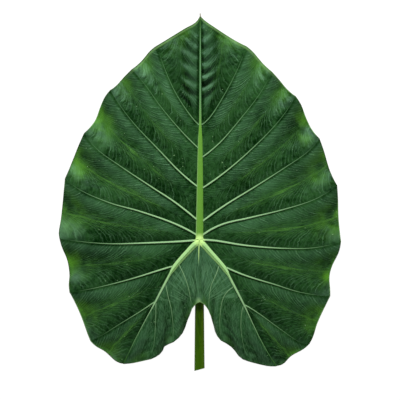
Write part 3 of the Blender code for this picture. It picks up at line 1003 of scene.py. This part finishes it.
rippled = upper.step(north, 160.0, 205.0) * upper.fall(abs(east), 22.0, 45.0)
# Painted shade over the whole patch of ripples near the tip.
upper.coat(rippled * 0.35, PAINTED_SHADE)
depth = 0.7 - 0.45 * upper.step(outward, 0.75, 1.0) + 0.28 * rippled
# Painted shade where the sheet leans from the light, weaker near the edge and stronger on the ripples.
upper.coat(upper.step(0 - lean, 0.04, 0.4) * depth, PAINTED_SHADE)
# Painted sheen in patches where the sheet leans to the light, fading out at the edge, and on the tip's
# ripples.
painted_sheen = upper.step(lean, 0.14, 0.55) * upper.step(from_edge, 0.0, 12.0) * upper.step(patchy, 0.3, 0.7) * 0.5
upper.coat(painted_sheen + rippled * upper.step(lean, 0.25, 0.6) * 0.4, PAINTED_SHEEN)
print("the upper side has", len(upper.tree.nodes), "nodes so far")

# %% [markdown]
# Beside each vein a band of painted light lies on its lower side and painted shade on its upper side.
# The nerves are drawn over that, weaker close to the veins, on the inner side of the lobes and on the
# ripples. Along the middle of a sector they run together into a broken streak.

# %% Paint light and shade beside the veins, and draw the nerves and the streaks
PAINTED_LIGHT_BAND = tint(60, 98, 66)
NERVE = tint(88, 130, 92)
STREAK = tint(60, 104, 42)

beside_rib = upper.step(away, 2.0, 4.5) * upper.fall(away, 7.0, 20.0) * upper.step(outward, 0.05, 0.3)
uneven = upper.step(grain(40.0), 0.3, 0.7)
# Painted light on the lower side of each vein, and painted shade on its upper side.
upper.coat(beside_rib * baseward * (0.2 + 0.3 * uneven), PAINTED_LIGHT_BAND)
upper.coat(beside_rib * (1 - baseward) * upper.fall(outward, 0.6, 0.85) * uneven * 0.35, PAINTED_SHADE)

grown = upper.step(away, 0.5, 5.0) * (0.35 + 0.65 * upper.step(outward, 0.05, 0.4))
grown = grown * (1 - 0.5 * inner) * (1 - 0.55 * rippled)
# Painted shade in the gap beside each nerve.
upper.coat(painted_gap_shade * 0.7 * grown, PAINTED_SHADE)
upper.coat((nerves * 0.85 + fine_nerves * 0.2) * grown, NERVE)

strands = upper.step(strands_of(upper, off_middle * 0.9, outward * 9.0, 3.0), 0.42, 0.66)
upper.coat(strands * inner * 0.25, NERVE)
streak = upper.fall(abs(off_middle), 0.0, 3.0) * (0.3 + 0.7 * strands)
streak = streak + upper.fall(abs(side), 0.05, 0.5) * strands * 0.6
streak = streak * outer * upper.step(outward, 0.15, 0.5) * (1 - 0.8 * upper.step(north, 110.0, 170.0))
upper.coat(streak * (upper.step(grain(30.0), 0.35, 0.65) * 0.7 + 0.3), STREAK)
print("the upper side has", len(upper.tree.nodes), "nodes so far")

# %% [markdown]
# Towards the edge the leaf is younger and yellower between the vein ends, with a painted sheen on the
# crest beside it.
# The very rim is a fine line, dark olive in some stretches and pale in others, and a pale band follows it
# at the tip.

# %% Colour the margin and the rim
MARGIN = tint(70, 122, 30)
EDGE = tint(104, 142, 84)
DARK_EDGE = tint(38, 58, 16)

margin = upper.step(outward, 0.76, 0.98) * upper.fall(abs(side), 0.15, 0.9) * (0.5 + 0.5 * outer)
margin = margin * (1 - 0.5 * upper.step(north, 150.0, 200.0))
upper.coat(margin * upper.step(grain(45.0, 3.0), 0.3, 0.75), MARGIN)
# Painted sheen on the crests near the edge.
crest_sheen = upper.step(grain(26.0, 3.0), 0.42, 0.7) * upper.step(outward, 0.78, 0.96)
crest_sheen = crest_sheen * upper.step(0 - side, -0.1, 0.5)
upper.coat(crest_sheen * (0.5 + 0.5 * mottled) * 0.5, PAINTED_SHEEN)

near_tip = upper.step(north, 170.0, 200.0)
pale_rim = upper.step(grain(16.0), 0.5, 0.62) * (1 - near_tip)
pale_rim = pale_rim + near_tip * (0.1 + 0.6 * upper.step(east, -4.0, 4.0))
upper.coat(upper.fall(from_edge, 0.4, 1.6) * 0.75, upper.blend(pale_rim, DARK_EDGE, EDGE))
tip_band = upper.step(from_edge, 0.8, 1.8) * upper.fall(from_edge, 2.0, 5.0)
tip_band = tip_band * upper.step(north, 195.0, 240.0)
upper.coat(tip_band * 0.6, EDGE)
print("the upper side has", len(upper.tree.nodes), "nodes so far")

# %% [markdown]
# Between the two lobe ribs the skin is grey-green, with faint rays down from the junction and a fan of
# nerves that meets at the notch. The notch itself has a pale spot and a pale rim. A few tiny painted
# glints lie scattered over the whole leaf.

# %% Colour the space between the lobe ribs
BLOOM = tint(66, 104, 74)
RIB = tint(142, 180, 130)
BROAD_RIB = tint(150, 192, 126)
FAN_MEETS = (-1.0, -86.0)
NOTCH_SPOT = (-1.2, -81.0)
SPOT_STRETCH = 0.6


def length_of(across, along):
    """The distance that two numbers at right angles span."""
    reach = upper.node("ShaderNodeCombineXYZ", {}, across, along)
    return upper.node("ShaderNodeVectorMath", {"operation": "LENGTH"}, reach, output=1)


def angle_of(across, along):
    return upper.node("ShaderNodeMath", {"operation": "ARCTAN2"}, across, along)


junction = tuple(to_scene((0, 0, JUNCTION_DISH_HEIGHT)))
distance = upper.node("ShaderNodeVectorMath", {"operation": "DISTANCE"}, here, junction, output=1)
rays = strands_of(upper, angle_of(east, 0 - north) * 26.0, distance * 30.0, 3.0)
between_ribs = upper.step(0 - north - abs(east) * 1.15, 0.0, 8.0) * upper.fall(0 - north, 40.0, 85.0)
upper.coat(between_ribs * (upper.step(rays, 0.35, 0.65) * 0.65 + 0.1), BLOOM)

fan_across, fan_along = east - FAN_MEETS[0], north - FAN_MEETS[1]
fan_reach = length_of(fan_across, fan_along)
fan_rays = strands_of(upper, angle_of(fan_across, fan_along) * 16.0, fan_reach * 0.03, 2.0)
fanned = upper.step(fan_reach, 10.0, 22.0) * upper.fall(fan_reach, 38.0, 62.0)
fanned = fanned * upper.step(north, -84.0, -74.0)
upper.coat(upper.step(fan_rays, 0.53, 0.6) * fanned * 0.45, NERVE)

off_spot = length_of(east - NOTCH_SPOT[0], (north - NOTCH_SPOT[1]) * SPOT_STRETCH)
upper.coat(upper.fall(off_spot, 0.5, 5.0) * 0.55, BROAD_RIB)
upper.coat(upper.fall(off_spot, 4.0, 22.0) * upper.fall(from_edge, 0.6, 2.6) * 0.8, EDGE)
# Painted glints: tiny pale specks scattered over the leaf.
upper.coat(upper.step(grain(330.0, 1.0), 0.77, 0.81) * 0.5, RIB)
print("the upper side has", len(upper.tree.nodes), "nodes so far")

# %% [markdown]
# A rib's colour depends on its breadth. The narrow ones are pale at the junction and fade outwards. The
# midrib is green with a painted highlight on its left flank, and each lobe rib is pale with a greener
# band of painted shade along it. All of them meet in a bright spot.

# %% Choose the colours of the ribs
RIB_AT_EDGE = tint(84, 124, 82)
RIB_PAINTED_SHADE = tint(62, 104, 46)
RIB_FLANK = tint(126, 168, 100)
MIDRIB_PAINTED_HIGHLIGHT = tint(118, 158, 92)
MIDRIB_GREEN = tint(90, 138, 50)
JUNCTION = tint(192, 230, 138)

broad = upper.step(rib_size, 1.7, 2.6)
# Painted shade in a greener band along each lobe rib.
basal = upper.blend(upper.step(side, 0.12, 0.22), BROAD_RIB, RIB_PAINTED_SHADE)
basal = upper.blend(upper.step(side, 0.3, 0.42), basal, RIB_FLANK)
# Painted highlight on the midrib's left flank.
midrib = upper.blend(upper.step(side, -0.95, -0.6), MIDRIB_PAINTED_HIGHLIGHT, MIDRIB_GREEN)
narrow_colour = upper.blend(upper.step(distance, 0.05, 0.2), RIB, RIB_AT_EDGE)
broad_colour = upper.blend(upper.step(north, -1.0, 4.0), basal, midrib)
rib_colour = upper.blend(broad, narrow_colour, broad_colour)
centre = upper.fall(abs(east), 2.0, 4.0) * upper.fall(north, -3.0, 0.0) * upper.fall(distance, 0.012, 0.04)
glow = upper.node("ShaderNodeMath", {"operation": "MAXIMUM"}, upper.fall(distance, 0.002, 0.011), centre)
rib_colour = upper.blend(glow, rib_colour, JUNCTION)
print("the upper side has", len(upper.tree.nodes), "nodes so far")

# %% [markdown]
# The narrow ribs fade out before they reach the edge, and near the junction each has a painted shadow
# on the upper side, along its flank towards the leaf's base. The dried bristle is the last coat.

# %% Lay the ribs over the greens
PAINTED_RIB_SHADOW = tint(2, 24, 0)
BRISTLE = tint(150, 146, 132)
RIB_SHADOW_AT = -1.65
BRISTLE_STARTS = 290.0

firm = (upper.step(rib_size, 0.35, 1.2) * 0.55 + 0.45) * (1 - 0.2 * inner)
ends = upper.step(from_edge, 3.0, 30.0 - 16 * inner) * firm
centre_end = upper.step(0 - north, 20.0, 36.0) * upper.fall(abs(east), 3.0, 6.0)
signed_gap = rib_gap * (1 - 2 * baseward)
beside_midrib = upper.fall(abs(east), 4.5, 6.5) * upper.step(north, 0.0, 8.0)
# Painted shadow along each narrow rib's flank towards the leaf's base.
rib_shadow = upper.fall(abs(signed_gap - RIB_SHADOW_AT), 0.5, 1.1) * (1 - beside_midrib)
rib_shadow = rib_shadow * ends * upper.fall(distance, 0.09, 0.19) * outer
upper.coat(rib_shadow * (1 - broad) * 0.8, PAINTED_RIB_SHADOW)

narrow_rib = upper.fall(abs(signed_gap - 0.1), 0.3, 0.95) * ends * (1 - centre_end)
core = 0.66 + 0.34 * upper.step(rib_size, 2.3, 2.9)
broad_rib = upper.fall(rib_gap / core, 0.9, 1.06)
upper.coat(narrow_rib * (1 - broad) + broad_rib * broad, rib_colour)
upper.coat(upper.step(north, BRISTLE_STARTS, BRISTLE_STARTS + 1), BRISTLE)
upper.set(Base_Color=upper.colour)
print("the upper side has", len(upper.tree.nodes), "nodes so far")

# %% [markdown]
# The nerves are also a fine relief, too small for the mesh, so they go into a bump as well as into the
# colour. The wax gives a weak green shine.

# %% Raise the nerves and set the shine
RELIEF = 0.0008
WAX_SHINE = 0.05

relief = nerves * 0.5 + bulges * (0.15 + 0.35 * blotches) + fine_nerves * 0.15 + grain(420.0) * 0.2
relief = relief * (1 - 0.5 * inner) * (1 - 0.4 * upper.step(outward, 0.75, 1.0)) * (1 - 0.4 * rippled)
bump = upper.node("ShaderNodeBump", {}, 1.0, RELIEF, None, relief * upper.step(rib_gap, 1.0, 1.6))
upper.set(Normal=bump, Roughness=0.28 + 0.1 * patchy + 0.1 * nerves)
upper.set(Specular_IOR_Level=WAX_SHINE, Specular_Tint=(0.5, 1.0, 0.7, 1.0))
print("the upper side has", len(upper.tree.nodes), "nodes")

# %% [markdown]
# ## The underside
# Underneath, the same leaf is paler and duller, with no wax. Its thick ribs are pale yellow-green, and
# the fine nerves stand out as a raised net.

# %% Colour the underside
UNDER_RELIEF = 0.0005

under = Finish(blade.data.materials[UNDERSIDE_SLOT])
here_under = under.node("ShaderNodeTexCoord", {}, output=OBJECT_PLACE)
start_under, _ = under.parts(under.node("ShaderNodeUVMap", {"uv_map": "flow"}))
turn_under = start_under / NERVE_PITCH + soft_noise(under, here_under, 60.0, 4.0, 0.65) * WANDER
net = under.step(ridges_of(under, turn_under), 0.45, 1.0)
net = net * under.step(soft_noise(under, here_under, 90.0), 0.3, 0.6)
gap_under = under.attribute("rib_gap")

under.colour = under.blend(soft_noise(under, here_under, 30.0, 3.0), tint(72, 118, 66), tint(98, 142, 84))
under.coat(net * 0.55, tint(128, 166, 104))
under.coat(under.fall(gap_under, 0.95, 1.5), tint(170, 198, 134))
relief_under = net * under.step(gap_under, 1.0, 1.6)
bump_under = under.node("ShaderNodeBump", {}, 1.0, UNDER_RELIEF, None, relief_under)
under.set(Base_Color=under.colour, Roughness=0.6 - 0.1 * net, Normal=bump_under)
print("the underside has", len(under.tree.nodes), "nodes")

# %% [markdown]
# ## The stalk's finish
# The stalk is smooth and dark green, with fine lines along it, lighter on both flanks and towards the
# cut. The lines are noise that is stretched along the stalk.

# %% Colour the stalk
LINES_STRETCH = 0.05
LIGHTER_OVER = 70.0

skin = Finish(bpy.data.materials.new("stalk skin"))
stalk.data.materials.append(skin.material)
on_stalk = skin.node("ShaderNodeTexCoord", {}, output=OBJECT_PLACE)
stretch = (1.0, LINES_STRETCH, 1.0)
stretched = skin.node("ShaderNodeVectorMath", {"operation": "MULTIPLY"}, on_stalk, stretch)
across_metres, along_metres = skin.parts(on_stalk)
across_stalk = across_metres / MM + BOX_MIDDLE[0]
along_stalk = along_metres / MM + BOX_MIDDLE[1]

lines = skin.step(soft_noise(skin, stretched, 900.0, 3.0), 0.35, 0.65)
skin.colour = skin.blend(lines, tint(28, 56, 0), tint(44, 74, 0))
skin.coat(skin.step(across_stalk, 1.5, 4.0) * 0.6, tint(64, 84, 4))
skin.coat(skin.fall(across_stalk, -6.0, -3.0) * 0.7, tint(58, 84, 6))
skin.coat(skin.fall(along_stalk, STALK_END, STALK_END + LIGHTER_OVER) * 0.4, tint(58, 98, 4))
skin.set(Base_Color=skin.colour, Roughness=0.5, Specular_IOR_Level=WAX_SHINE)
print("the stalk's skin has", len(skin.tree.nodes), "nodes")

# %% [markdown]
# ## Floor, lights and camera
# The leaf lies on a plain white floor. The floor gives nearly all of its own light, so that it is even
# and the leaf's shadow stays faint.

# %% Lay the floor
FLOOR_SIZE = 12
FLOOR_DROP = 0.4
FLOOR_GLOW = 0.97

bpy.ops.object.select_all(action="DESELECT")
bpy.ops.mesh.primitive_plane_add(size=FLOOR_SIZE, location=(0, 0, -FLOOR_DROP * MM))
floor = bpy.context.object
floor.name = "floor"
floor_white = Finish(bpy.data.materials.new("floor white"))
floor.data.materials.append(floor_white.material)
floor_white.set(Base_Color=(0.1, 0.1, 0.1, 1.0), Roughness=0.9, Specular_IOR_Level=0.0)
floor_white.set(Emission_Color=(1, 1, 1, 1), Emission_Strength=FLOOR_GLOW)
print("the floor is", FLOOR_SIZE, "m across")

# %% [markdown]
# Most of the light comes from beyond the tip, so that the near side of each crest is dark. It stands far
# off, so that the tip and the lobes are lit alike. Weak lights from the other sides and a pale room
# soften it.

# %% Set the lights
ROOM_LIGHT = 0.18


def soft_light(name, bearing, rise, distance, size, watts):
    """A round soft light, aimed at the leaf. bearing is in degrees from the tip, clockwise from above."""
    lamp = bpy.data.lights.new(name, "AREA")
    lamp.shape, lamp.size, lamp.energy = "DISK", size, watts
    light = bpy.data.objects.new(name, lamp)
    b, r = np.radians(bearing), np.radians(rise)
    place = Vector((np.sin(b) * np.cos(r), np.cos(b) * np.cos(r), np.sin(r))) * distance
    light.location = place
    light.rotation_euler = (-place).to_track_quat("-Z", "Y").to_euler()
    bpy.context.scene.collection.objects.link(light)


soft_light("key beyond the tip", bearing=-3, rise=31, distance=5.0, size=2.2, watts=444)
soft_light("left fill", bearing=-105, rise=40, distance=2.2, size=1.2, watts=7)
soft_light("right fill", bearing=105, rise=40, distance=2.2, size=1.2, watts=6)
soft_light("near fill", bearing=180, rise=45, distance=2.2, size=1.2, watts=6)

world = bpy.data.worlds.new("room")
bpy.context.scene.world = world
world.use_nodes = True
world.node_tree.nodes["Background"].inputs["Color"].default_value = (1, 1, 1, 1)
world.node_tree.nodes["Background"].inputs["Strength"].default_value = ROOM_LIGHT
bpy.context.scene.view_settings.view_transform = "Standard"
print("lights:", len(bpy.data.lights))

# %% [markdown]
# The camera looks straight down. A parallel view keeps every vein where it was measured.

# %% Set the camera
PIXEL = 1.3
FRAME_PIXELS = 400
JUNCTION_PIXEL = (199.5, 240.0)
CAMERA_HEIGHT = 2000

lens = bpy.data.cameras.new("camera")
lens.type = "ORTHO"
lens.ortho_scale = FRAME_PIXELS * PIXEL * MM
camera = bpy.data.objects.new("camera", lens)
frame_middle = FRAME_PIXELS / 2
middle_east = (frame_middle - JUNCTION_PIXEL[0]) * PIXEL
middle_north = (JUNCTION_PIXEL[1] - frame_middle) * PIXEL
camera.location = Vector(to_scene((middle_east, middle_north, CAMERA_HEIGHT)))
bpy.context.scene.collection.objects.link(camera)
bpy.context.scene.camera = camera
print("the frame is", lens.ortho_scale, "m across")

# %% [markdown]
# ## Close the lesson
